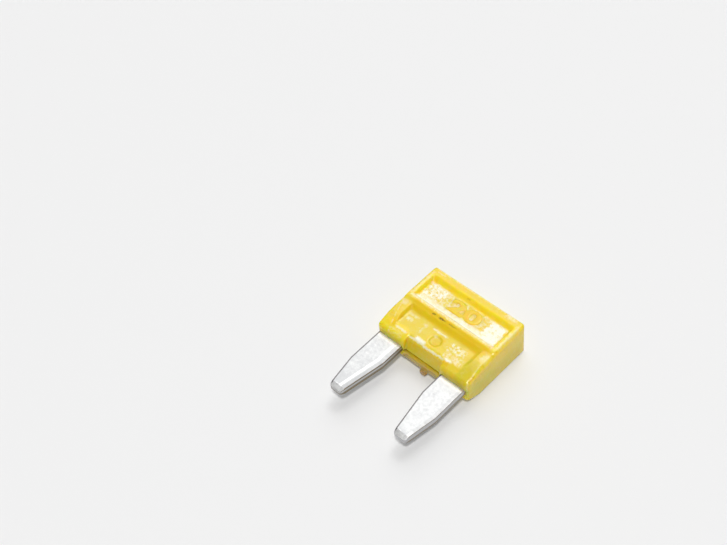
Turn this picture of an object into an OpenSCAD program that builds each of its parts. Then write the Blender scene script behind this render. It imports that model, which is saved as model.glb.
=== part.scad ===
// Blade fuse of the mini size: a moulded housing over a stamped fuse element.
// X runs across the two blades, Y along the fuse with the head at +Y, and Z up out of the
// front face. The fuse lies on its back, and the origin is under the middle of its outline.
// The modules work from the seating line, where the shoulders meet a fuse holder, at Y = 0.

/* [Housing] */
// Width of the housing
body_w = 10.9; // [10.6:0.1:11.8]
// Height of the housing above the seating line
body_h = 8.3; // [8:0.1:9.2]
// Thickness of the housing from back to front
body_t = 3.8; // [3.6:0.1:4.2]
// Corner radius of the head, seen from the front
head_r = 0.5; // [0.2:0.1:0.9]
// Corner radius of the shoulders' outer ends, seen from the front
foot_r = 0.55; // [0.3:0.05:1.2]
// Radius of the long front edges
front_r = 0.42; // [0.2:0.02:0.6]
// Radius of the long back edges
back_r = 0.25; // [0.1:0.05:0.5]
// Radius of the edges round the head's top face
top_r = 0.3; // [0.1:0.05:0.5]

/* [Rails and shoulders] */
// How far the rails' front lies below the head's front face
rail_drop = 0.14; // [0.06:0.01:0.2]
// Width of the step down to the rails
rail_step = 0.53; // [0.3:0.01:0.8]
// Height at which the rails' front starts to fall towards the shoulders
fall_y = 1.88; // [1.7:0.02:2.2]
// Radius of the bend there
fall_r = 4; // [1:0.5:6]
// Angle of the falling front
fall_angle = 16; // [8:1:20]
// Radius of the front edge of the shoulders
toe_r = 0.6; // [0.2:0.05:0.7]
// Height at which the back starts to rise towards the shoulders
heel_y = 1.7; // [1:0.1:1.9]
// Angle of the rising back
heel_angle = 24; // [8:1:26]
// Radius of the back edge of the shoulders
heel_r = 0.5; // [0.2:0.05:0.6]

/* [Head recess] */
// Width of the rim above the head recess
rim_top = 0.8; // [0.4:0.1:1]
// Width of the rim at each end of the head recess
rim_side = 0.55; // [0.45:0.05:0.8]
// Depth of the head recess
head_depth = 0.35; // [0.2:0.05:0.6]
// Width of the slope under the rim
head_slope = 0.62; // [0.3:0.02:1.1]
// Width of the slope above the rib
head_foot = 0.32; // [0.2:0.02:0.8]
// Width of the slope at each end of the head recess
head_end = 0.36; // [0.2:0.02:0.8]

/* [Rib and lower recess] */
// Height of the middle of the cross rib
rib_y = 4.3; // [4.1:0.1:4.6]
// Width of the rib's flat top
rib_w = 0.24; // [0.16:0.02:0.6]
// Depth of the lower recess below the head's front face
recess_depth = 0.4; // [0.3:0.02:0.5]
// Distance from the rib's lower edge down to where the recess slope reaches face height
recess_top = 0.06; // [0.04:0.02:0.4]
// Width of the slope below the rib
rib_slope = 1.12; // [0.6:0.02:1.3]
// Distance from the housing's side in to where the rail slope reaches face height
recess_side = 0.9; // [0.45:0.05:1.2]
// Width of the slope inside each rail
rail_slope = 0.75; // [0.4:0.01:1]

/* [Bridge between the blades] */
// Gap between the two shoulders
bridge_w = 4.3; // [3.6:0.1:4.6]
// How far the bridge's back wall stays above the seating line
bridge_set = 0.08; // [0.04:0.02:0.3]
// How far its front face leans back up to the recess floor
bridge_lean = 0.72; // [0.1:0.02:0.8]
// Radius along the front edge of the bridge
bridge_r = 0.6; // [0.1:0.05:0.8]

/* [Blades] */
// Width of a blade
blade_w = 2.7; // [2.4:0.1:3]
// Thickness of a blade
blade_t = 0.8; // [0.6:0.05:0.9]
// Length of a blade below the seating line
blade_l = 7.2; // [6.4:0.1:8]
// Distance between the middles of the two blades
blade_pitch = 7.5; // [7.2:0.1:7.7]
// Width of a blade at its tip
tip_w = 1.32; // [0.9:0.02:1.8]
// How far the tip's middle lies outward from the blade's middle
tip_shift = 0.14; // [0:0.02:0.3]
// Length of the taper on the outer edge
taper_out = 3.4; // [2:0.1:4.4]
// Length of the taper on the inner edge
taper_in = 4.75; // [3:0.05:5.4]
// Corner radius of the tip
tip_r = 0.28; // [0.1:0.02:0.5]
// Length of the coined bevel at the tip
coin_l = 0.5; // [0.2:0.05:0.9]
// Depth of the coined bevel on each face
coin_d = 0.2; // [0.05:0.05:0.25]

/* [Fuse element inside the housing] */
// Height up to which the blade keeps its full width
root_h = 3.3; // [3:0.1:3.6]
// Width of the probe tab above that
tab_w = 2; // [1.6:0.1:2.4]
// Depth of the probe tab's end below the head's top face
tab_set = 0.5; // [0.2:0.1:1]
// Radius of the hole in each blade for its stake
stake_r = 0.4; // [0.2:0.05:0.6]
// Height of the stakes above the seating line
stake_y = 2.2; // [1.6:0.1:2.6]
// Thickness of the fuse link
link_t = 0.3; // [0.15:0.05:0.5]
// Width of the link's strip
link_w = 0.5; // [0.3:0.05:0.6]
// Height of the link's legs above the seating line
link_y = 1.85; // [1.8:0.05:2.1]
// Inner radius of the link's arch
arch_r = 0.5; // [0.3:0.05:0.6]

/* [Slots and chamber] */
// Clearance round the fuse element on each side
fit_gap = 0.05; // [0.02:0.01:0.1]
// Height of the link chamber along the fuse
chamber_h = 2.1; // [1.9:0.1:2.3]
// Thickness of the link chamber
chamber_t = 1.3; // [1:0.05:1.4]
// Width of the dimple that the staking punch leaves in the back
dimple_w = 0.9; // [0.5:0.05:1.2]
// Depth of the staking dimples
dimple_d = 0.16; // [0.05:0.01:0.25]
// Width of the round mark over the link
mark_w = 1.2; // [0.6:0.05:1.4]
// Distance of the round mark from the middle
mark_x = 0.2; // [-0.4:0.1:0.4]
// Height of the round mark above the seating line
mark_y = 1.88; // [1.7:0.02:2.1]
// Depth of the round mark
mark_d = 0.1; // [0.04:0.02:0.16]
// Width of the gate stub under the bridge
gate_w = 0.75; // [0.4:0.05:0.8]
// Length of the gate stub
gate_l = 0.24; // [0.1:0.02:0.26]
// Distance of the gate stub from the middle
gate_x = 0.2; // [-0.6:0.1:0.6]
// Height of the gate stub's middle above the back face
gate_z = 0.6; // [0.45:0.05:0.8]

/* [Hidden] */
$fn = 48;
cut = 1;             // overrun of a cutter past the face it opens
steps = 6;           // short flats in a curved slope
fillet_steps = 6;    // short flats in a rounded corner
seat_y = (blade_l - body_h) / 2;
blade_z = body_t / 2;
blade_x = blade_pitch / 2;
head_x = body_w / 2 - rim_side;
rib_top = rib_y + rib_w / 2;
rib_foot = rib_y - rib_w / 2;
recess_z = body_t - recess_depth;
recess_x = body_w / 2 - recess_side;
rail_z = body_t - rail_drop;
rail_top = rib_foot - rail_step;
toe_z = rail_z - fall_y * tan(fall_angle);
slot_w = blade_w + 2 * fit_gap;
slot_t = blade_t + 2 * fit_gap;
slot_z = blade_z - slot_t / 2;
tab_top = body_h - tab_set;
arch_out = arch_r + link_w;
chamber_y = link_y - link_w / 2 - (chamber_h - arch_out - link_w / 2) / 2;
link_root = 0.3;      // how far the link's legs run on inside the blades
slab_lift = 0.01;     // stand-off of the slabs that round the leaning edges
edge_lift = 0.01;     // height of the bridge's unrounded edge above the recess floor

// Front of the housing seen from the side, from the falling part up to the head's face
front_line = concat(
    fillet([0, toe_z], [fall_y, rail_z], [rail_top, rail_z], fall_r),
    soft_step([rail_top, rail_z], [rib_foot, body_t]));

function unit(v) = v / norm(v);

// Points of a rounded corner of radius r at b, on the way from a to c
function fillet(a, b, c, r) =
    let (u = unit(a - b), v = unit(c - b), half = acos(u * v) / 2,
         centre = b + unit(u + v) * r / sin(half),
         p = b + u * r / tan(half) - centre,
         q = b + v * r / tan(half) - centre,
         start = atan2(p.y, p.x),
         turn = atan2(p.x * q.y - p.y * q.x, p * q))
    [for (i = [0 : fillet_steps])
        centre + r * [cos(start + turn * i / fillet_steps), sin(start + turn * i / fillet_steps)]];

// Outline through corners given as [x, y, radius]
function rounded(corners) =
    let (n = len(corners))
    [for (i = [0 : n - 1])
        let (a = corners[(i + n - 1) % n], b = corners[i], c = corners[(i + 1) % n])
        each b[2] == 0 ? [[b.x, b.y]]
            : fillet([a.x, a.y], [b.x, b.y], [c.x, c.y], b[2])];

// Soft step from p to q, level at both ends
function soft_step(p, q) =
    [for (i = [0 : steps])
        let (t = i / steps)
        [p.x + (q.x - p.x) * t, p.y + (q.y - p.y) * t * t * (3 - 2 * t)]];

// A shape drawn in Y and Z, run along X to both sides of the middle
module along_x(width) {
    rotate([90, 0, 90])
        linear_extrude(width, center = true)
            children();
}

// A shape drawn in X and Z, run along Y from one height to another
module along_y(from, to) {
    translate([0, to, 0])
        rotate([90, 0, 0])
            linear_extrude(to - from)
                children();
}

module both_sides() {
    children();
    mirror([1, 0, 0])
        children();
}

// Housing seen from the front
module body_front() {
    polygon(rounded([
        [-body_w / 2, 0, foot_r],
        [body_w / 2, 0, foot_r],
        [body_w / 2, body_h, head_r],
        [-body_w / 2, body_h, head_r]]));
}

// Housing seen from the side
module body_side() {
    polygon(rounded(concat(
        [[0, heel_y * tan(heel_angle), heel_r],
         [heel_y, 0, 0],
         [body_h, 0, top_r],
         [body_h, body_t, top_r]],
        [for (i = [len(front_line) - 1 : -1 : 0]) [front_line[i].x, front_line[i].y, 0]],
        [[0, toe_z, toe_r]])));
}

// Cross-section of the housing's upper side down to z = -deep, with rounded upper edges
function edge_section(r, deep) =
    rounded([[-body_w / 2, -deep, 0], [body_w / 2, -deep, 0],
             [body_w / 2, 0, r], [-body_w / 2, 0, r]]);

// A cross-section carried along a line in Y and Z
module carried(section, line) {
    n = len(section);
    last = (len(line) - 1) * n;
    polyhedron(
        points = [for (p = line) for (s = section) [s.x, p.x, p.y + s.y]],
        faces = concat(
            [[for (j = [n - 1 : -1 : 0]) j], [for (j = [0 : n - 1]) last + j]],
            [for (i = [0 : len(line) - 2]) for (j = [0 : n - 1])
                let (a = i * n, b = (j + 1) % n)
                [a + j, a + b, a + n + b, a + n + j]]));
}

// Slab with rounded long edges that follows the front. It stands off the front itself.
module front_slab() {
    carried(edge_section(front_r, 2 * body_t), concat(
        [[-cut, toe_z - cut * tan(fall_angle) + slab_lift]],
        [for (p = front_line) [p.x, p.y + slab_lift]],
        [[body_h + cut, body_t + slab_lift]]));
}

// The same for the back, which rises from a given height down to the shoulders
module back_slab() {
    mirror([0, 0, 1])
        carried(edge_section(back_r, 2 * body_t), [
            [-cut, slab_lift - (heel_y + cut) * tan(heel_angle)],
            [heel_y, slab_lift],
            [body_h + cut, slab_lift]]);
}

module blank() {
    intersection() {
        linear_extrude(body_t)
            body_front();
        along_x(body_w + cut)
            body_side();
        front_slab();
        back_slab();
    }
}

// Shallow dished recess in the head
module head_recess() {
    low = body_t - head_depth;
    top = body_h - rim_top;
    intersection() {
        along_x(body_w)
            polygon(concat(
                [[rib_top, body_t + cut]],
                soft_step([rib_top, body_t], [rib_top + head_foot, low]),
                soft_step([top - head_slope, low], [top, body_t]),
                [[top, body_t + cut]]));
        along_y(rib_top, top)
            polygon(concat(
                [[-head_x, body_t + cut]],
                soft_step([-head_x, body_t], [head_end - head_x, low]),
                soft_step([head_x - head_end, low], [head_x, body_t]),
                [[head_x, body_t + cut]]));
    }
}

// Lower recess with a level floor, which runs out onto the falling front
module lower_recess() {
    top = rib_foot - recess_top;
    intersection() {
        along_x(body_w)
            polygon(concat(
                [[-cut, body_t + cut], [-cut, recess_z]],
                soft_step([top - rib_slope, recess_z], [top, body_t]),
                [[top, body_t + cut]]));
        along_y(-cut, top)
            polygon(concat(
                [[-recess_x, body_t + cut]],
                soft_step([-recess_x, body_t], [rail_slope - recess_x, recess_z]),
                soft_step([recess_x - rail_slope, recess_z], [recess_x, body_t]),
                [[recess_x, body_t + cut]]));
    }
}

// Space between the shoulders, up to the bridge. The bridge is straight at its back wall,
// and its front face leans back and rolls over onto the recess floor.
module shoulder_gap() {
    edge_z = recess_z + edge_lift;
    roll = fillet([bridge_set, slot_z], [bridge_set + bridge_lean, edge_z],
                  [rib_foot, edge_z], bridge_r);
    along_x(bridge_w)
        polygon(concat(
            [[-cut, -cut], [bridge_set, -cut], [bridge_set, slot_z]],
            roll,
            [[roll[fillet_steps].x, body_t + cut], [-cut, body_t + cut]]));
}

// Slot for one blade with its probe tab, up through the head's top face. The stake that
// holds the blade is left standing in it.
module blade_slot() {
    difference() {
        union() {
            translate([blade_x - slot_w / 2, -cut, slot_z])
                cube([slot_w, root_h + fit_gap + cut, slot_t]);
            translate([blade_x - tab_w / 2 - fit_gap, 0, slot_z])
                cube([tab_w + 2 * fit_gap, body_h + cut, slot_t]);
        }
        translate([blade_x, stake_y, 0])
            cylinder(r = stake_r - fit_gap, h = body_t);
    }
}

// Chamber round the link, and the slit that the link passes on its way in
module link_space() {
    wide = blade_pitch - blade_w;
    translate([-wide / 2, chamber_y, blade_z - chamber_t / 2])
        cube([wide, chamber_h, chamber_t]);
    translate([-wide / 2 - fit_gap, -cut, slot_z])
        cube([wide + 2 * fit_gap, chamber_y + 2 * cut, link_t + 2 * fit_gap]);
}

// Dimple in the back where a punch has pressed the stake through the blade
module stake_dimple() {
    translate([blade_x, stake_y, -cut])
        cylinder(d = dimple_w, h = dimple_d + cut);
}

// Round mark in the recess floor over the link
module round_mark() {
    translate([mark_x, mark_y, recess_z - mark_d])
        cylinder(d = mark_w, h = body_t);
}

// What is left of the moulding gate, from inside the rising back out past the bridge
module gate_stub() {
    translate([gate_x, heel_y, gate_z])
        rotate([90, 0, 0])
            cylinder(d = gate_w, h = heel_y - bridge_set + gate_l);
}

module housing() {
    color([0.93, 0.78, 0.08, 0.9])
    translate([0, seat_y, 0])
    difference() {
        union() {
            difference() {
                blank();
                lower_recess();
                shoulder_gap();
                head_recess();
                both_sides()
                    stake_dimple();
                round_mark();
            }
            gate_stub();
        }
        both_sides()
            blade_slot();
        link_space();
    }
}

// One blade seen from the front
module blade_outline() {
    inner = blade_x - blade_w / 2;
    outer = blade_x + blade_w / 2;
    tip = blade_x + tip_shift;
    difference() {
        union() {
            polygon(rounded([
                [inner, root_h, 0],
                [inner, taper_in - blade_l, 0],
                [tip - tip_w / 2, -blade_l, tip_r],
                [tip + tip_w / 2, -blade_l, tip_r],
                [outer, taper_out - blade_l, 0],
                [outer, root_h, 0]]));
            translate([blade_x - tab_w / 2, 0])
                square([tab_w, tab_top]);
        }
        translate([blade_x, stake_y])
            circle(r = stake_r);
    }
}

// Both blades seen from the side, with the coined tips
module blade_side() {
    low = blade_z - blade_t / 2;
    high = blade_z + blade_t / 2;
    polygon([
        [-blade_l, low + coin_d], [coin_l - blade_l, low],
        [tab_top, low], [tab_top, high],
        [coin_l - blade_l, high], [-blade_l, high - coin_d]]);
}

// The link: two legs and the arch between them
module link_outline() {
    reach = blade_x - blade_w / 2;
    difference() {
        union() {
            both_sides()
                translate([arch_r, link_y - link_w / 2])
                    square([reach - arch_r + link_root, link_w]);
            intersection() {
                translate([0, link_y])
                    circle(r = arch_out);
                translate([-arch_out, link_y - link_w / 2])
                    square([2 * arch_out, arch_out + link_w]);
            }
        }
        translate([0, link_y])
            circle(r = arch_r);
        translate([-arch_r, link_y - arch_out])
            square([2 * arch_r, arch_out]);
    }
}

module fuse_element() {
    color([0.78, 0.78, 0.8])
    translate([0, seat_y, 0])
    union() {
        intersection() {
            translate([0, 0, blade_z - blade_t / 2])
                linear_extrude(blade_t)
                    both_sides()
                        blade_outline();
            along_x(body_w)
                blade_side();
        }
        translate([0, 0, blade_z - blade_t / 2])
            linear_extrude(link_t)
                link_outline();
    }
}

housing();
fuse_element();
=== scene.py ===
import math

import bpy
from bpy.props import FloatProperty, FloatVectorProperty, IntProperty, PointerProperty, StringProperty
from mathutils import Matrix, Vector


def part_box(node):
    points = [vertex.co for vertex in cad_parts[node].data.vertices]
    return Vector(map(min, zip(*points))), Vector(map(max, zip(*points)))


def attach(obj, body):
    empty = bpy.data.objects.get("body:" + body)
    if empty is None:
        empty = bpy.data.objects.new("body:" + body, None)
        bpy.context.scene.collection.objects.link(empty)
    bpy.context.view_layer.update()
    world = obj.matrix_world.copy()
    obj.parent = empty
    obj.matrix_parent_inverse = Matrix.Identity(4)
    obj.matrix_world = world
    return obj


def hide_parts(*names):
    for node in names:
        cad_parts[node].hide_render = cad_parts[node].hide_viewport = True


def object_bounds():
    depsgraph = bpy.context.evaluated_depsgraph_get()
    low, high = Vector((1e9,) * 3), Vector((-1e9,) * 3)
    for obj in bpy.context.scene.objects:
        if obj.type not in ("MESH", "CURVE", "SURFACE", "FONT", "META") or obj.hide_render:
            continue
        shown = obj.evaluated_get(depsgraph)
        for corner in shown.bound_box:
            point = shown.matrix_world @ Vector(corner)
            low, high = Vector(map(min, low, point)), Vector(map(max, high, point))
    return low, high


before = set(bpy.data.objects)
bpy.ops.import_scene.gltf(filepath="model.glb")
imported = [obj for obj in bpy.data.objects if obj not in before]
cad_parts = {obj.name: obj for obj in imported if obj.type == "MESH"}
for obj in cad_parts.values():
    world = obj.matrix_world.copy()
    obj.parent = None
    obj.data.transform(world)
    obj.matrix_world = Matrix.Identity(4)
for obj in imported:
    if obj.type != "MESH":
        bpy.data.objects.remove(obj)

bl_info = {
    "name": "Mini Blade Fuse",
    "version": (1, 0, 0),
    "blender": (4, 5, 0),
    "location": "View3D > Sidebar > Fuse",
    "description": "Dresses a mini blade fuse: moulded housing, tinned blades and studio stage",
    "category": "Object",
}

MM = 0.001
BODY = "root"
CAD_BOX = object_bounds()
ELEMENT_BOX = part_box("fuse_element")


# Shader maths ---------------------------------------------------------------------------

# A Mix node has sockets for each type of data, and these are its colours
MIX_FIRST = 6
MIX_SECOND = 7
MIX_RESULT = 2


class Value:
    """A number that varies over a surface. Python's operators add its Math nodes."""

    def __init__(self, graph, socket):
        self.graph = graph
        self.socket = socket

    def math(self, operation, *others):
        return self.graph.maths(operation, self, *others)

    def __add__(self, other):
        return self.math("ADD", other)

    __radd__ = __add__

    def __sub__(self, other):
        return self.math("SUBTRACT", other)

    def __rsub__(self, other):
        return self.graph.maths("SUBTRACT", other, self)

    def __mul__(self, other):
        return self.math("MULTIPLY", other)

    __rmul__ = __mul__

    def __abs__(self):
        return self.math("ABSOLUTE")

    def sine(self):
        return self.math("SINE")

    def least(self, other):
        return self.math("MINIMUM", other)

    def most(self, other):
        return self.math("MAXIMUM", other)

    def step(self, low, high):
        """0 below low, 1 above high, and a soft rise between them. Low may be the larger."""
        return self.graph.node("ShaderNodeMapRange", {"interpolation_type": "SMOOTHSTEP"}, {
            "Value": self, "From Min": low, "From Max": high}).value()

    def within(self, low, high, soft):
        """1 between low and high and 0 outside them, with soft edges half inside them."""
        return self.step(low - soft, low + soft) * self.step(high + soft, high - soft)


class Made:
    """A node that has been added, and its outputs."""

    def __init__(self, graph, node):
        self.graph = graph
        self.node = node

    def value(self, name=0):
        return Value(self.graph, self.node.outputs[name])

    def out(self, name=0):
        return self.node.outputs[name]


class Graph:
    """The emptied node tree of a material or of the world."""

    def __init__(self, owner):
        owner.use_nodes = True
        self.tree = owner.node_tree
        self.tree.nodes.clear()

    def node(self, kind, settings=None, inputs=None):
        """Adds a node, sets its settings, then the values or links of its sockets."""
        made = self.tree.nodes.new(kind)
        for name, setting in (settings or {}).items():
            setattr(made, name, setting)
        for name, given in (inputs or {}).items():
            if isinstance(given, Made):
                given = given.out()
            if isinstance(given, Value):
                given = given.socket
            if isinstance(given, bpy.types.NodeSocket):
                self.tree.links.new(given, made.inputs[name])
            else:
                made.inputs[name].default_value = given
        return Made(self, made)

    def maths(self, operation, *terms):
        return self.node("ShaderNodeMath", {"operation": operation}, dict(enumerate(terms))).value()

    def object_mm(self):
        """Object coordinates in millimetres, as one vector and as x, y and z."""
        metres = self.node("ShaderNodeTexCoord").out("Object")
        scaled = self.node("ShaderNodeVectorMath", {"operation": "SCALE"}, {0: metres, "Scale": 1 / MM})
        split = self.node("ShaderNodeSeparateXYZ", None, {0: scaled})
        return scaled.out(), split.value("X"), split.value("Y"), split.value("Z")

    def facing_up(self):
        """How far a face looks up: 1 on level ones, 0 on upright ones, -1 on undersides."""
        normal = self.node("ShaderNodeNewGeometry").out("Normal")
        return self.node("ShaderNodeSeparateXYZ", None, {0: normal}).value("Z")

    def noise(self, place, scale, detail, roughness):
        """Smooth noise about 0, mostly from -0.3 to 0.3, with scale features in a millimetre."""
        made = self.node("ShaderNodeTexNoise", None, {
            "Vector": place, "Scale": scale, "Detail": detail, "Roughness": roughness})
        return made.value("Fac") - 0.5

    def mix_colour(self, factor, first, second):
        """First where the factor is 0 and second where it is 1. Both are colours."""
        inputs = {"Factor": factor, MIX_FIRST: first, MIX_SECOND: second}
        return self.node("ShaderNodeMix", {"data_type": "RGBA"}, inputs).out(MIX_RESULT)

    def bump(self, height, depth_mm):
        return self.node("ShaderNodeBump", None, {
            "Height": height, "Distance": depth_mm * MM, "Strength": 1.0})

    def finish(self, shader, output="ShaderNodeOutputMaterial"):
        self.node(output, None, {"Surface": shader})


def new_material(name):
    material = bpy.data.materials.new(name)
    return material, Graph(material)


def rgba(colour, factor=1.0):
    return (*(factor * part for part in colour[:3]), 1.0)


# Mesh helpers ---------------------------------------------------------------------------

MERGE = 0.0001 * MM


def only(piece):
    """Deselects everything, then selects one object and makes it active."""
    bpy.ops.object.select_all(action="DESELECT")
    piece.select_set(True)
    bpy.context.view_layer.objects.active = piece


def copy_of_node(node, name):
    """A copy of a CAD node with its doubles merged, as an object of its own at the origin."""
    piece = bpy.data.objects.new(name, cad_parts[node].data.copy())
    piece.data.materials.clear()
    bpy.context.scene.collection.objects.link(piece)
    only(piece)
    bpy.ops.object.mode_set(mode="EDIT")
    bpy.ops.mesh.select_all(action="SELECT")
    bpy.ops.mesh.remove_doubles(threshold=MERGE)
    bpy.ops.mesh.customdata_custom_splitnormals_clear()
    bpy.ops.mesh.normals_make_consistent(inside=False)
    bpy.ops.object.mode_set(mode="OBJECT")
    return piece


def apply_modifier(piece, kind, **settings):
    """Adds a modifier with these settings and applies it."""
    only(piece)
    modifier = piece.modifiers.new(kind.title(), kind)
    for name, setting in settings.items():
        setattr(modifier, name, setting)
    bpy.ops.object.modifier_apply(modifier=modifier.name)


def span(piece, axis):
    """Lowest and highest place of a piece's vertices along an axis."""
    places = [vertex.co[axis] for vertex in piece.data.vertices]
    return min(places), max(places)


def join_into(piece, other):
    """Joins another object into a piece."""
    only(piece)
    other.select_set(True)
    bpy.ops.object.join()


def dress(piece, material):
    """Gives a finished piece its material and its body."""
    piece.data.materials.clear()
    piece.data.materials.append(material)
    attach(piece, BODY)


# Housing --------------------------------------------------------------------------------

# Places and sizes here are in millimetres, and a place on the front is left, right, low, high
HEAD_FLOOR = (-4.5, 4.5, 4.2, 6.35)
DIGIT_MIDDLE = (0.2, 5.4)
DIGIT_TOP = 3.56
DIGIT_SINK = 0.2
# How much wider the digits are than the font's
DIGIT_WIDEN = 1.75
# From and to how far below their top the digits take the deep painted shade in place of the painted
# sheen, and how strong it is
DIGIT_TINT = (0.07, 0.03)
DIGIT_DEEP_SHADE = 0.95
# The ceiling of the blades' slots and of the probe windows is lowered into the blades, where
# it closes the dark gap over them. Out of sight, the housing and the blades overlap there
SLOT_CEILING = 2.35
LOWERED_CEILING = 2.15
CEILING_SLACK = 0.001
# How much of the way to its neighbours' middle a pass of smoothing moves a vertex
SMOOTH_FACTOR = 0.5
# Noise in the plastic: features in a millimetre, detail and roughness
CLOUD = (0.9, 3.0, 0.5)
MOTTLE = (2.4, 3.0, 0.6)
GRIT = (3.6, 2.0, 0.7)
# How far the mottle and the grit shift a patch's edges, across and along the fuse
RAGGED_ACROSS = (0.7, 0.5)
RAGGED_ALONG = (0.25, 0.25)
PATCH_SOFT = 0.16
# Between which heights the front's tints come in, and how far up a face has to look to take the painted
# sheen
FRONT_RISE = (1.2, 2.6)
PALE_FACING = (0.02, 0.25)
# How much painted sheen the plastic has everywhere, and how the mottle adds to that
PALE_LEAST = 0.01
PALE_MOTTLE = 0.25
PALE_LIFT = 0.03
# What tints the plastic, how much, how far its grain changes that, and where. The glowing and amber
# tints are painted light on faces that lie in shade, the shaded and deep ones painted shade on faces
# that turn from the light, and the pale one painted sheen, glints and highlights; only the specks are
# the plastic's own dark specks.
TINTED_PLACES = (
    # Painted light on the head's walls, which lie in shade
    ("glow", 1.0, 0.0, (-4.95, 4.95, 6.3, 6.95)),
    ("glow", 1.0, 0.0, (-4.95, -4.5, 4.1, 6.5)),
    ("glow", 0.7, 0.0, (4.5, 4.95, 4.1, 6.5)),
    # Painted light on the bridge's face and the crest above it, which lie in shade
    ("amber_painted_light", 1.0, 0.0, (-2.3, 2.3, -0.7, 0.12)),
    ("glow", 1.0, 0.0, (-2.3, 2.3, 0.1, 0.4)),
    # Painted light on the right side face and on the left toe by the blade's root
    ("glow", 0.6, 0.0, (5.3, 5.6, -1.0, 8.0)),
    ("glow", 0.8, 0.0, (-5.6, -2.3, -0.8, 0.8)),
    ("shade", 0.8, 0.0, (3.9, 5.3, -0.6, 1.9)),
    # Painted shade on the rib's slope and the left rail's wall, which turn from the light; the same
    # deeper colour on the round mark and by the right shoulder's notch
    ("deep", 0.8, 0.0, (-4.3, 4.6, 2.5, 3.6)),
    ("deep", 0.8, 0.0, (-4.2, -3.85, 0.2, 3.0)),
    ("deep", 1.0, 0.0, (-0.1, 0.75, 0.95, 1.65)),
    ("deep", 0.6, 0.0, (-0.6, 1.0, 0.7, 1.9)),
    ("deep", 1.0, 0.0, (2.15, 2.75, -0.15, 0.22)),
    # Painted sheen, glints and highlights: glints on the head's frosted floor, light lines on the rims,
    # rails and rib, pale patches in the lower recess and the highlight along the bridge's crest
    ("pale", 0.62, 3.6, (-4.45, -2.3, 4.6, 6.3)),
    ("pale", 0.19, 2.2, (-2.4, 2.7, 4.6, 6.35)),
    ("pale", 1.10, 3.6, (2.7, 4.45, 4.2, 6.3)),
    ("pale", 0.70, 1.4, (-4.5, 4.5, 4.05, 4.7)),
    ("pale", 0.95, 0.8, (-4.6, 4.6, 3.95, 4.3)),
    ("pale", 0.42, 0.9, (-4.9, 4.9, 3.68, 4.0)),
    ("pale", 0.30, 0.5, (-5.15, -4.88, 3.9, 7.1)),
    ("pale", 0.34, 0.6, (5.02, 5.3, 3.9, 7.1)),
    ("pale", 0.36, 0.6, (-5.0, 3.4, 7.52, 7.8)),
    ("pale", 0.36, 1.0, (3.4, 4.7, 7.2, 7.8)),
    ("pale", 0.28, 0.5, (-4.75, -3.8, 7.22, 7.34)),
    ("pale", 0.30, 0.6, (4.6, 5.25, 2.0, 3.0)),
    ("pale", 0.32, 0.6, (-5.15, -4.55, 2.5, 3.05)),
    ("pale", 0.45, 1.5, (-3.7, -2.9, 1.5, 1.85)),
    ("pale", 0.35, 1.2, (-3.7, -2.7, 2.1, 2.35)),
    ("pale", 0.30, 1.2, (-1.75, -1.5, 1.0, 2.3)),
    ("pale", 0.60, 1.8, (-0.8, 0.7, 2.15, 2.35)),
    ("pale", 0.55, 1.6, (-0.35, 0.1, 1.65, 1.85)),
    ("pale", 0.28, 3.4, (1.5, 3.4, 1.2, 2.2)),
    ("pale", 0.26, 1.6, (1.7, 3.7, 0.5, 1.3)),
    ("pale", 1.00, 0.0, (-1.55, -0.35, 0.3, 0.68)),
    ("pale", 0.60, 0.8, (-3.75, -2.5, 0.22, 0.45)),
    ("pale", 0.75, 0.9, (-2.0, 2.0, 0.22, 0.36)),
    ("pale", 0.95, 0.8, (2.0, 2.75, 0.3, 0.55)),
    ("pale", 0.20, 1.4, (-4.2, -2.6, -0.35, 0.1)),
    ("speck", 0.75, 2.0, (-1.95, -1.6, 3.32, 3.43)),
    ("speck", 0.70, 2.0, (-1.2, -0.4, 3.32, 3.43)),
    ("speck", 0.42, 1.5, (0.0, 0.9, 3.33, 3.42)),
    ("speck", 0.35, 1.5, (-0.55, -0.25, 6.66, 6.78)),
)
# Thin painted highlight lines on the front: upper end, lower end, how pale, and half width
PALE_LINES = (
    ((-4.98, 2.5), (-4.05, -0.5), 0.18, 0.05),
    ((5.08, 2.1), (5.32, -0.4), 0.20, 0.05),
)
PALE_LINE_SOFT = 0.2
PALE_LINE_GRIT = 1.5
# The bridge's back wall: its half width, and the edges at its top, its foot and the torn gate
BRIDGE_HALF = 2.3
BRIDGE_SOFT = 0.1
WALL_TOP = (1.9, 1.8)
WALL_FOOT = (-0.2, -0.3)
GATE_EDGE = (-0.5, -0.56)
# Its tan tint, painted shade on a wall that faces down: how strong, how the fine lines and the mottle
# change it, and the lines' pitch
TAN_AMOUNT = 0.75
TAN_LINE = 0.25
TAN_MOTTLE = 0.8
TAN_PITCH = 0.21
# Bumps in the plastic and what adds to its roughness
PLASTIC_BUMP = 0.1
BUMP_MOTTLE = 0.3
ROUGH_CLOUD = 0.06
ROUGH_FROST = 0.05
# Roughness of the pale shader that paints the sheen
SHEEN_ROUGHNESS = 0.5
PLASTIC_IOR = 1.58
BLEED_COLOURS = (1.0, 0.6, 0.06)
# The tints that are mixed into the plastic's colour, each over the one before
MIXED_TINTS = ("glow", "amber_painted_light", "shade", "deep", "tan", "brown", "speck")


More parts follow.
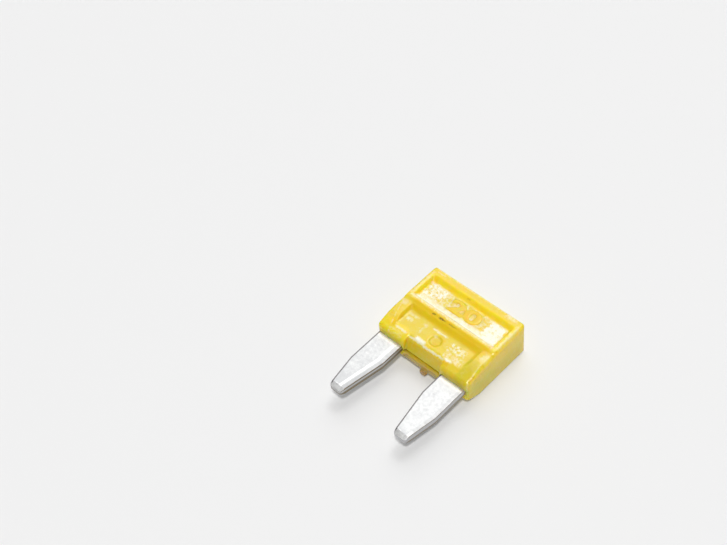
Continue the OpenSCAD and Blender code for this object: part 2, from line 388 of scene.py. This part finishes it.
class HousingSettings(bpy.types.PropertyGroup):
    """Sizes and colours of the moulded housing"""

    voxel: FloatProperty(
        name="Voxel", description="Grain of the remeshed surface",
        default=0.07 * MM, unit="LENGTH", precision=6)
    softening: IntProperty(
        name="Softening", description="Passes that round the moulded edges", default=7, min=0)
    colour: FloatVectorProperty(
        name="Plastic", description="Colour of the plastic where it is thick",
        default=(0.81, 0.62, 0.014), subtype="COLOR")
    # Painted shade: the saturated colour of faces that turn from the light
    deep: FloatVectorProperty(
        name="Deep plastic", description="Colour where the plastic glows from inside",
        default=(0.80, 0.565, 0.0), subtype="COLOR")
    # Painted light: a brighter amber on the bridge's face, which lies in shade
    amber_painted_light: FloatVectorProperty(
        name="Amber plastic", description="Colour of the thin wall over the link",
        default=(1.0, 0.66, 0.0), subtype="COLOR")
    # Painted shade on the bridge's back wall, which faces down
    tan: FloatVectorProperty(
        name="Tan plastic", description="Colour of the bridge's back wall",
        default=(0.44, 0.30, 0.07), subtype="COLOR")
    brown: FloatVectorProperty(
        name="Brown plastic", description="Colour of the torn gate",
        default=(0.40, 0.26, 0.05), subtype="COLOR")
    shade: FloatVectorProperty(
        name="Shaded plastic", description="Colour where the front falls away",
        default=(0.67, 0.565, 0.008), subtype="COLOR")
    # Painted light: brighter plastic on walls and faces that lie in shade
    glow: FloatVectorProperty(
        name="Glowing plastic", description="Colour of the walls that pass light on",
        default=(0.98, 0.722, 0.008), subtype="COLOR")
    speck: FloatVectorProperty(
        name="Specks", description="Colour of the dark specks in the plastic",
        default=(0.16, 0.09, 0.02), subtype="COLOR")
    # Painted sheen: the colour of the painted glints, highlights and sheen
    pale: FloatVectorProperty(
        name="Pale plastic", description="Colour where the plastic is rough or blushed",
        default=(0.95, 0.93, 0.79), subtype="COLOR")
    digits: StringProperty(
        name="Digits", description="Raised number on the head", default="20")
    digit_size: FloatProperty(
        name="Digit size", description="Size of the raised number",
        default=2.0 * MM, unit="LENGTH", precision=6)
    digit_weight: FloatProperty(
        name="Digit weight", description="How much the number's strokes are thickened",
        default=0.09 * MM, unit="LENGTH", precision=6)
    bleed: FloatProperty(
        name="Bleed", description="How far light spreads inside the plastic",
        default=1.2 * MM, unit="LENGTH", precision=6)
    roughness: FloatProperty(
        name="Roughness", description="Roughness of the moulded faces", default=0.24, min=0, max=1)


def plastic_material(name, settings):
    """Yellow plastic with painted light and shade: painted shade on its slopes, painted light on faces
    in shade, and painted sheen, glints and highlights mixed in as a pale shader.
    """
    material, graph = new_material(name)
    place, x, y, z = graph.object_mm()
    cloud = graph.noise(place, *CLOUD)
    mottle = graph.noise(place, *MOTTLE)
    grit = graph.noise(place, *GRIT)
    ragged_x = x + RAGGED_ACROSS[0] * mottle + RAGGED_ACROSS[1] * grit
    ragged_y = y + RAGGED_ALONG[0] * mottle + RAGGED_ALONG[1] * grit
    front = z.step(*FRONT_RISE)
    facing = graph.facing_up().step(*PALE_FACING)

    def patch(box):
        left, right, low, high = box
        across = ragged_x.within(left, right, PATCH_SOFT)
        return across * ragged_y.within(low, high, min(PATCH_SOFT, (high - low) / 2)) * front

    tints = dict.fromkeys(MIXED_TINTS, 0.0)
    # A little painted sheen everywhere, more where the mottle is high
    tints["pale"] = PALE_LEAST + PALE_MOTTLE * (mottle + PALE_LIFT).most(0.0)
    for tint, amount, grain, box in TINTED_PLACES:
        here = patch(box) * ((amount + grain * grit).most(0.0) if grain else amount)
        # The painted sheen lies only on faces that look up towards the lights
        if tint == "pale":
            here = here * facing
        tints[tint] = here.most(tints[tint])
    # The raised digits take no painted sheen and the deep painted shade instead
    digits = z.step(DIGIT_TOP - DIGIT_TINT[0], DIGIT_TOP - DIGIT_TINT[1]) * patch(HEAD_FLOOR)
    frosted = patch(HEAD_FLOOR) * (1 - digits)
    # No painted sheen where the painted shade is deep
    tints["pale"] = tints["pale"] * (1 - digits) * (1 - tints["deep"])
    tints["deep"] = tints["deep"].most(DIGIT_DEEP_SHADE * digits)
    # Painted highlight lines
    for (left, high), (right, low), amount, half_width in PALE_LINES:
        slope = (right - left) / (low - high)
        off_line = x - (left + (y - high) * slope)
        here = off_line.within(-half_width, half_width, half_width)
        here = here * y.within(low, high, PALE_LINE_SOFT) * front
        tints["pale"] = tints["pale"].most(here * (amount + PALE_LINE_GRIT * grit))
    # Painted shade: the tan tint on the bridge's back wall, with fine lines, and darker brown on the
    # gate below it
    behind = z.step(*WALL_TOP) * y.step(*WALL_FOOT) * x.within(-BRIDGE_HALF, BRIDGE_HALF, BRIDGE_SOFT)
    fine_lines = (z * (2 * math.pi / TAN_PITCH)).sine()
    tints["tan"] = behind * (TAN_AMOUNT + TAN_LINE * fine_lines + TAN_MOTTLE * mottle)
    tints["brown"] = behind * y.step(*GATE_EDGE)
    colour = rgba(settings.colour)
    for tint in MIXED_TINTS:
        colour = graph.mix_colour(tints[tint].least(1.0), colour, rgba(getattr(settings, tint)))
    normal = graph.bump(grit * frosted + BUMP_MOTTLE * mottle, PLASTIC_BUMP)
    clear = graph.node("ShaderNodeBsdfPrincipled", None, {
        "Base Color": colour,
        "Roughness": settings.roughness + ROUGH_CLOUD * cloud + ROUGH_FROST * frosted,
        "IOR": PLASTIC_IOR,
        "Subsurface Weight": 1.0,
        "Subsurface Radius": BLEED_COLOURS,
        "Subsurface Scale": settings.bleed,
        "Normal": normal})
    # The painted sheen, glints and highlights: a pale rough shader mixed over the clear plastic
    sheen_shader = graph.node("ShaderNodeBsdfPrincipled", None, {
        "Base Color": rgba(settings.pale), "Roughness": SHEEN_ROUGHNESS, "Normal": normal})
    sheened = tints["pale"].least(1.0) * (1 - tints["speck"].least(1.0))
    graph.finish(graph.node("ShaderNodeMixShader", None, {0: sheened, 1: clear, 2: sheen_shader}))
    return material


class FUSE_OT_housing(bpy.types.Operator):
    """Remeshes a copy of the housing and its number with soft moulded edges, in its plastic"""

    bl_idname = "fuse.housing"
    bl_label = "Housing"

    def execute(self, context):
        settings = context.scene.fuse_housing
        piece = copy_of_node("housing", "moulded_housing")
        self.lower_slots(piece)
        join_into(piece, self.raised_digits(settings))
        apply_modifier(piece, "REMESH", mode="VOXEL", voxel_size=settings.voxel)
        apply_modifier(piece, "SMOOTH", factor=SMOOTH_FACTOR, iterations=settings.softening)
        only(piece)
        bpy.ops.object.shade_smooth()
        dress(piece, plastic_material("translucent_plastic", settings))
        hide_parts("housing")
        return {"FINISHED"}

    def lower_slots(self, piece):
        """Brings the ceiling of the slots and the probe windows down into the blades."""
        for vertex in piece.data.vertices:
            if abs(vertex.co.z - SLOT_CEILING * MM) < CEILING_SLACK * MM:
                vertex.co.z = LOWERED_CEILING * MM

    def raised_digits(self, settings):
        """The number that stands up from the floor of the head's recess."""
        bpy.ops.object.select_all(action="DESELECT")
        bpy.ops.object.text_add(location=(0, 0, 0))
        digits = bpy.context.object
        digits.data.body = settings.digits
        digits.data.size = settings.digit_size
        digits.data.offset = settings.digit_weight
        digits.data.align_x = "CENTER"
        digits.data.extrude = DIGIT_SINK * MM
        bpy.ops.object.convert(target="MESH")
        digits = bpy.context.object
        low, high = span(digits, 1)
        left, right = span(digits, 0)
        middle = Vector(((left + right) / 2, (low + high) / 2, 0))
        target = Vector((*DIGIT_MIDDLE, DIGIT_TOP - DIGIT_SINK)) * MM
        widened = Matrix.Diagonal((DIGIT_WIDEN, 1, 1, 1)) @ Matrix.Translation(-middle)
        digits.data.transform(Matrix.Translation(target) @ widened)
        return digits


# Fuse element ---------------------------------------------------------------------------

# Places here are in millimetres: the blades' ends, how far up their coined tips reach, and
# where their faces turn down into the sheared sides
TIP_END = ELEMENT_BOX[0].y / MM
COIN_TOP = TIP_END + 0.5
SHEAR_TOP = ELEMENT_BOX[1].z / MM - 0.2
# Noise in the tin: features in a millimetre, detail and roughness
BLOTCHES = (1.1, 4.0, 0.6)
TIN_MOTTLE = (3.0, 3.0, 0.6)
GRAIN = (14.0, 3.0, 0.6)
# Half the width over which the left blade's finish gives way to the right blade's
BETWEEN_BLADES = 0.1
# From a sheared side to a flat face, by how level a face lies
LEVEL_FACING = (0.5, 0.92)
# The smooth strip of the sheared sides, over torn metal that is darkened and browned by painted shade,
# and the wider one on the right blade, a painted reflection of the bright floor beside it
STRIP = (SHEAR_TOP - 0.25, SHEAR_TOP)
WIDE_STRIP = (SHEAR_TOP - 0.42, SHEAR_TOP + 0.1)
STRIP_SOFT = 0.06
# How dull the tin is, and how much the blotches and the mottle change that
DULL_AMOUNT = 0.35
DULL_BLOTCH = 1.6
DULL_MOTTLE = 2.4
# How much duller the left blade is, where it gets duller still, and how much
DULL_LEFT = 0.2
DULL_LEFT_LOW = 0.8
LOW_LEFT = (-4.5, -7.0)
# How much duller the tin is round the coined tips, over which height, and how ragged
DULL_COIN = 0.7
COIN_FADE = 0.5
FADE_RAGGED = 0.8
# Painted light on the coined tips, whose facets turn from the light: how bright, how the mottle changes
# that, their edge and how ragged it is
COIN_BRIGHT = 0.9
COIN_MOTTLE = 2.0
COIN_SOFT = 0.05
COIN_RAGGED = 0.5
# Painted light on the blades' roots by the housing, which lifts the shade and dark reflection that the
# housing casts there
ROOT = (-1.15, -0.75)
ROOT_BRIGHT = 0.9
ROOT_RAGGED = 0.3
# Painted highlight and painted shade lines along the blades' edges: their tint and its amount, the side
# of the blade that the edge is on (1 for its right), the edge's x, the y at which its taper starts and
# its x at the tip, from and to how far inward the line runs, and how far up
EDGE_LINES = (
    ("painted_highlight", 0.8, 1, (-2.4, -3.0, -3.23), (0.45, 0.72), 0.0),
    ("painted_highlight", 0.9, 1, (5.1, -4.35, 4.55), (0.05, 0.30), -6.7),
    ("painted_edge_shade", 0.18, 1, (-2.4, -3.0, -3.23), (-0.1, 0.36), 0.0),
    ("painted_edge_shade", 0.12, 1, (5.1, -4.35, 4.55), (-0.1, 0.36), 0.0),
    ("painted_edge_shade", 0.95, -1, (-5.1, -4.35, -4.55), (-0.25, 0.12), 0.0),
    ("painted_edge_shade", 0.95, -1, (2.4, -3.0, 3.23), (-0.25, 0.12), 0.0),
)
LINE_LOW = TIP_END + 0.3
LINE_SOFT = 0.05
LINE_END_SOFT = 0.2
# Bumps in the tin, from the mottle and the grain, and what they add to its roughness
TIN_BUMP = 0.03
BUMP_SHARES = (0.8, 0.2)
ROUGH_SHARES = (0.12, 0.08)
# Faces that lie this flat become one, edges sharper than this are rounded, and shading
# breaks at edges sharper than this
FLAT_ANGLE = math.radians(1)
ROUNDED_ANGLE = math.radians(15)
SHARP_ANGLE = math.radians(35)
NORMAL_WEIGHT = 100


class ElementSettings(bpy.types.PropertyGroup):
    """Sizes and colours of the tinned fuse element"""

    edge: FloatProperty(
        name="Edge", description="Radius of the sheared edges",
        default=0.2 * MM, unit="LENGTH", precision=6)
    edge_segments: IntProperty(
        name="Edge segments", description="Faces across a sheared edge", default=5, min=1)
    tin: FloatVectorProperty(
        name="Tin", description="Colour of the tinned faces",
        default=(0.67, 0.675, 0.67), subtype="COLOR")
    dull: FloatVectorProperty(
        name="Dull tin", description="Colour of the tin's dull blotches",
        default=(0.56, 0.565, 0.57), subtype="COLOR")
    # Painted shade: the dark lines where the blades' rounded edges turn from the light
    painted_edge_shade: FloatVectorProperty(
        name="Rolled edge", description="Colour of the edges the punch has drawn down",
        default=(0.14, 0.13, 0.13), subtype="COLOR")
    painted_highlight: FloatVectorProperty(
        # Painted highlights on the blades' right edges, coined tips and roots
        name="Burnished tin", description="Colour of the rubbed edges and tips",
        default=(0.95, 0.95, 0.94), subtype="COLOR")
    sheared: FloatVectorProperty(
        name="Sheared edge", description="Colour of the sheared edges",
        default=(0.56, 0.56, 0.57), subtype="COLOR")
    # Torn metal on the lower part of the sheared sides, darkened and browned by painted shade
    torn_and_shaded: FloatVectorProperty(
        name="Torn edge", description="Colour of the sheared edges where the metal tore",
        default=(0.27, 0.225, 0.155), subtype="COLOR")
    roughness: FloatProperty(
        name="Roughness", description="Roughness of the tinned faces", default=0.48, min=0, max=1)


def tin_material(name, settings):
    """Dull tin: blotchy faces, painted highlights on the roots, tips and right edges, painted shade
    along the edges, and darker sheared sides whose lower part is partly painted shade.
    """
    material, graph = new_material(name)
    place, x, y, z = graph.object_mm()
    blotch = graph.noise(place, *BLOTCHES)
    mottle = graph.noise(place, *TIN_MOTTLE)
    grain = graph.noise(place, *GRAIN)
    left = x.step(BETWEEN_BLADES, -BETWEEN_BLADES)
    right = x.step(-BETWEEN_BLADES, BETWEEN_BLADES)
    sheared = 1 - abs(graph.facing_up()).step(*LEVEL_FACING)
    strip = z.within(*STRIP, STRIP_SOFT).most(z.within(*WIDE_STRIP, STRIP_SOFT) * right)
    # Duller tin on the left blade, duller still towards its tip, and round the coined tips
    duller = DULL_LEFT * left + DULL_LEFT_LOW * left * y.step(*LOW_LEFT)
    duller = duller + DULL_COIN * (y + FADE_RAGGED * mottle).step(COIN_TOP + COIN_FADE, COIN_TOP)
    dull = DULL_AMOUNT + DULL_BLOTCH * blotch + DULL_MOTTLE * mottle + duller
    colour = graph.mix_colour(dull.least(1.0).most(0.0), rgba(settings.tin), rgba(settings.dull))
    # Painted light on the coined tips
    coined = (y + COIN_RAGGED * mottle).step(COIN_TOP + COIN_SOFT, COIN_TOP - COIN_SOFT)
    # Painted light on the roots, against the housing's shade
    root = ROOT_BRIGHT * (y + ROOT_RAGGED * mottle).step(*ROOT)
    lines = {"painted_highlight": root.most(coined * (COIN_BRIGHT + COIN_MOTTLE * mottle)), "painted_edge_shade": 0.0}
    for tint, amount, side, (edge, taper, tip), (start, end), high in EDGE_LINES:
        slope = (tip - edge) / (taper - TIP_END)
        inward = (edge + slope * (taper - y).most(0.0) - x) * side
        here = inward.within(start, end, LINE_SOFT) * y.within(LINE_LOW, high, LINE_END_SOFT)
        lines[tint] = (here * amount).most(lines[tint])
    # The painted highlights lie on the flat faces only
    bright = (lines["painted_highlight"] * (1 - sheared)).least(1.0).most(0.0)
    colour = graph.mix_colour(bright, colour, rgba(settings.painted_highlight))
    # Painted shade along the edges
    colour = graph.mix_colour(lines["painted_edge_shade"], colour, rgba(settings.painted_edge_shade))
    # The sheared sides: the smooth strip, and below it torn metal with painted shade
    side_colour = graph.mix_colour(strip, rgba(settings.torn_and_shaded), rgba(settings.sheared))
    colour = graph.mix_colour(sheared, colour, side_colour)
    graph.finish(graph.node("ShaderNodeBsdfPrincipled", None, {
        "Base Color": colour,
        "Metallic": 1.0,
        "Roughness": settings.roughness + ROUGH_SHARES[0] * mottle + ROUGH_SHARES[1] * grain,
        "Normal": graph.bump(BUMP_SHARES[0] * mottle + BUMP_SHARES[1] * grain, TIN_BUMP)}))
    return material


class FUSE_OT_element(bpy.types.Operator):
    """Rounds the sheared edges of a copy of the fuse element and tins it"""

    bl_idname = "fuse.element"
    bl_label = "Fuse element"

    def execute(self, context):
        settings = context.scene.fuse_element
        piece = copy_of_node("fuse_element", "blades_and_link")
        apply_modifier(piece, "DECIMATE", decimate_type="DISSOLVE", angle_limit=FLAT_ANGLE)
        apply_modifier(
            piece, "BEVEL", width=settings.edge, segments=settings.edge_segments,
            limit_method="ANGLE", angle_limit=ROUNDED_ANGLE)
        only(piece)
        bpy.ops.object.shade_smooth_by_angle(angle=SHARP_ANGLE)
        apply_modifier(
            piece, "WEIGHTED_NORMAL", mode="FACE_AREA", weight=NORMAL_WEIGHT, keep_sharp=True)
        apply_modifier(piece, "TRIANGULATE", keep_custom_normals=True)
        dress(piece, tin_material("tinned_zinc", settings))
        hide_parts("fuse_element")
        return {"FINISHED"}


# Stage ----------------------------------------------------------------------------------

FLOOR_SQUARES = 8
FLOOR_ROUGHNESS = 0.6
FLOOR_GLOSS = 0.25
LAMP_HEIGHT = 0.3
UPRIGHT = Vector((0, 0, 1))
WHITE = (1, 1, 1)
# The width of the camera's sensor in millimetres, and how near and far it sees in metres
SENSOR_WIDTH = 36
NEAREST = 5 * MM
FARTHEST = 10


class StageSettings(bpy.types.PropertyGroup):
    """Floor, light and camera"""

    floor: FloatVectorProperty(
        name="Floor", description="Colour of the floor",
        default=(0.815, 0.815, 0.815), subtype="COLOR")
    floor_size: FloatProperty(
        name="Floor size", description="Width of the floor", default=1.6, unit="LENGTH")
    backdrop: FloatProperty(
        name="Backdrop", description="Brightness that the floor shows by itself",
        default=0.84, min=0, max=1)
    shadow: FloatProperty(
        name="Shadow", description="Share of the floor's look that comes from its light and shade",
        default=0.85, min=0, max=1)
    key: FloatProperty(
        name="Key", description="Strength of the key light", default=1.75, min=0)
    key_azimuth: FloatProperty(
        name="Key azimuth", description="Bearing of the key light, from where the blades point",
        default=math.radians(47), subtype="ANGLE")
    key_elevation: FloatProperty(
        name="Key elevation", description="Height of the key light above the horizon",
        default=math.radians(67), subtype="ANGLE")
    key_angle: FloatProperty(
        name="Key angle", description="Width of the key light, as the object sees it",
        default=math.radians(6), subtype="ANGLE")
    sky: FloatProperty(
        name="Sky", description="Brightness of the studio's darker side", default=0.16, min=0)
    softbox: FloatProperty(
        name="Softbox", description="Brightness that the large soft light adds",
        default=1.45, min=0)
    softbox_azimuth: FloatProperty(
        name="Softbox azimuth", description="Bearing of the soft light, from where the blades point",
        default=math.radians(-145), subtype="ANGLE")
    softbox_elevation: FloatProperty(
        name="Softbox elevation", description="Height of the soft light above the horizon",
        default=math.radians(51), subtype="ANGLE")
    softbox_core: FloatProperty(
        name="Softbox core", description="Half angle of the soft light's bright middle",
        default=math.radians(17), subtype="ANGLE")
    softbox_reach: FloatProperty(
        name="Softbox reach", description="Half angle at which the soft light has faded away",
        default=math.radians(40), subtype="ANGLE")
    glint: FloatProperty(
        name="Glint", description="Strength of the small lamp that draws the light lines",
        default=0.45, min=0)
    glint_azimuth: FloatProperty(
        name="Glint azimuth", description="Bearing of the small lamp, from where the blades point",
        default=math.radians(-166.6), subtype="ANGLE")
    glint_elevation: FloatProperty(
        name="Glint elevation", description="Height of the small lamp above the horizon",
        default=math.radians(64), subtype="ANGLE")
    glint_angle: FloatProperty(
        name="Glint angle", description="Width of the small lamp, as the object sees it",
        default=math.radians(20), subtype="ANGLE")
    azimuth: FloatProperty(
        name="Azimuth", description="Camera's bearing, from where the blades point",
        default=math.radians(49.3752), subtype="ANGLE")
    elevation: FloatProperty(
        name="Elevation", description="Camera's height above the horizon",
        default=math.radians(50.4554), subtype="ANGLE")
    roll: FloatProperty(
        name="Roll", description="Camera's turn about its own axis",
        default=math.radians(-7.5956), subtype="ANGLE")
    distance: FloatProperty(
        name="Distance", description="Distance from the camera to its aim",
        default=118.0796 * MM, unit="LENGTH")
    aim: FloatVectorProperty(
        name="Aim", description="Point that the camera looks at",
        default=(-8.0313 * MM, 0.9757 * MM, 7.0843 * MM), subtype="XYZ", unit="LENGTH", precision=6)
    lens: FloatProperty(
        name="Lens", description="Focal length of the camera in millimetres", default=64.3741, min=1)


def bearing(azimuth, elevation):
    """Direction towards a place seen at this azimuth and elevation."""
    return Vector((
        math.sin(azimuth) * math.cos(elevation),
        -math.cos(azimuth) * math.cos(elevation),
        math.sin(elevation)))


def aimed(location, target, roll=0.0):
    """World matrix of a camera or lamp at a location that looks at a target."""
    back = (location - target).normalized()
    right = UPRIGHT.cross(back).normalized()
    up = back.cross(right)
    turned_right = right * math.cos(roll) + up * math.sin(roll)
    turned_up = up * math.cos(roll) - right * math.sin(roll)
    return Matrix.Translation(location) @ Matrix((turned_right, turned_up, back)).transposed().to_4x4()


class FUSE_OT_stage(bpy.types.Operator):
    """Lays the floor, lights the studio and sets up the camera"""

    bl_idname = "fuse.stage"
    bl_label = "Stage"

    def execute(self, context):
        settings = context.scene.fuse_stage
        self.lay_floor(settings)
        self.light_studio(context.scene, settings)
        self.set_camera(context.scene, settings)
        context.scene.view_settings.view_transform = "Standard"
        return {"FINISHED"}

    def lay_floor(self, settings):
        """A pale floor under the fuse, whose look is partly its own light."""
        bpy.ops.object.select_all(action="DESELECT")
        bpy.ops.mesh.primitive_grid_add(
            x_subdivisions=FLOOR_SQUARES, y_subdivisions=FLOOR_SQUARES, size=settings.floor_size,
            location=(0, 0, CAD_BOX[0].z))
        floor = bpy.context.object
        floor.name = "floor"
        material, graph = new_material("pale_floor")
        lit = graph.node("ShaderNodeBsdfPrincipled", None, {
            "Base Color": rgba(settings.floor), "Roughness": FLOOR_ROUGHNESS,
            "Specular IOR Level": FLOOR_GLOSS})
        own = graph.node("ShaderNodeEmission", None, {
            "Color": rgba(WHITE, settings.backdrop), "Strength": 1.0})
        path = graph.node("ShaderNodeLightPath")
        seen = path.value("Is Camera Ray").most(path.value("Is Glossy Ray"))
        seen = seen.most(path.value("Is Transmission Ray"))
        graph.finish(graph.node("ShaderNodeMixShader", None, {
            0: seen * (1 - settings.shadow), 1: lit, 2: own}))
        floor.data.materials.append(material)

    def light_studio(self, scene, settings):
        """A dim studio with one large soft light, a key light and a small lamp for glints."""
        scene.world = bpy.data.worlds.new("studio")
        graph = Graph(scene.world)
        direction = graph.node("ShaderNodeTexCoord").out("Generated")
        towards = bearing(settings.softbox_azimuth, settings.softbox_elevation)
        facing = graph.node(
            "ShaderNodeVectorMath", {"operation": "DOT_PRODUCT"}, {0: direction, 1: towards})
        glow = facing.value("Value").step(
            math.cos(settings.softbox_reach), math.cos(settings.softbox_core))
        background = graph.node("ShaderNodeBackground", None, {
            "Color": rgba(WHITE), "Strength": settings.sky + settings.softbox * glow})
        graph.finish(background, "ShaderNodeOutputWorld")
        self.hang_lamp(
            scene, "key", settings.key, settings.key_angle,
            bearing(settings.key_azimuth, settings.key_elevation))
        self.hang_lamp(
            scene, "glint", settings.glint, settings.glint_angle,
            bearing(settings.glint_azimuth, settings.glint_elevation))

    def hang_lamp(self, scene, name, strength, angle, towards):
        sun = bpy.data.lights.new(name, "SUN")
        sun.energy = strength
        sun.angle = angle
        lamp = bpy.data.objects.new(name, sun)
        scene.collection.objects.link(lamp)
        lamp.matrix_world = aimed(LAMP_HEIGHT * towards, Vector((0, 0, 0)))

    def set_camera(self, scene, settings):
        optics = bpy.data.cameras.new("camera")
        optics.lens = settings.lens
        optics.sensor_width = SENSOR_WIDTH
        optics.clip_start = NEAREST
        optics.clip_end = FARTHEST
        camera = bpy.data.objects.new("camera", optics)
        scene.collection.objects.link(camera)
        aim = Vector(settings.aim)
        seat = aim + settings.distance * bearing(settings.azimuth, settings.elevation)
        camera.matrix_world = aimed(seat, aim, settings.roll)
        scene.camera = camera


# Add-on ---------------------------------------------------------------------------------

class FUSE_PT_panel(bpy.types.Panel):
    """Lists the fuse's pieces in the 3D view's sidebar"""

    bl_idname = "FUSE_PT_panel"
    bl_label = "Mini Blade Fuse"
    bl_space_type = "VIEW_3D"
    bl_region_type = "UI"
    bl_category = "Fuse"

    def draw(self, context):
        for operator, group, _settings in PIECES:
            box = self.layout.box()
            box.operator(operator.bl_idname)
            settings = getattr(context.scene, group)
            for name in settings.bl_rna.properties.keys():
                if name not in ("rna_type", "name"):
                    box.prop(settings, name)


# Each operator, and the name and the class of its settings in the scene
PIECES = (
    (FUSE_OT_housing, "fuse_housing", HousingSettings),
    (FUSE_OT_element, "fuse_element", ElementSettings),
    (FUSE_OT_stage, "fuse_stage", StageSettings),
)


def register():
    for operator, group, settings in PIECES:
        bpy.utils.register_class(settings)
        setattr(bpy.types.Scene, group, PointerProperty(type=settings))
        bpy.utils.register_class(operator)
    bpy.utils.register_class(FUSE_PT_panel)


def unregister():
    bpy.utils.unregister_class(FUSE_PT_panel)
    for operator, group, settings in reversed(PIECES):
        bpy.utils.unregister_class(operator)
        delattr(bpy.types.Scene, group)
        bpy.utils.unregister_class(settings)


def main():
    """Registers the add-on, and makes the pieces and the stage."""
    register()
    bpy.ops.fuse.housing()
    bpy.ops.fuse.element()
    bpy.ops.fuse.stage()


if __name__ == "__main__":
    main()
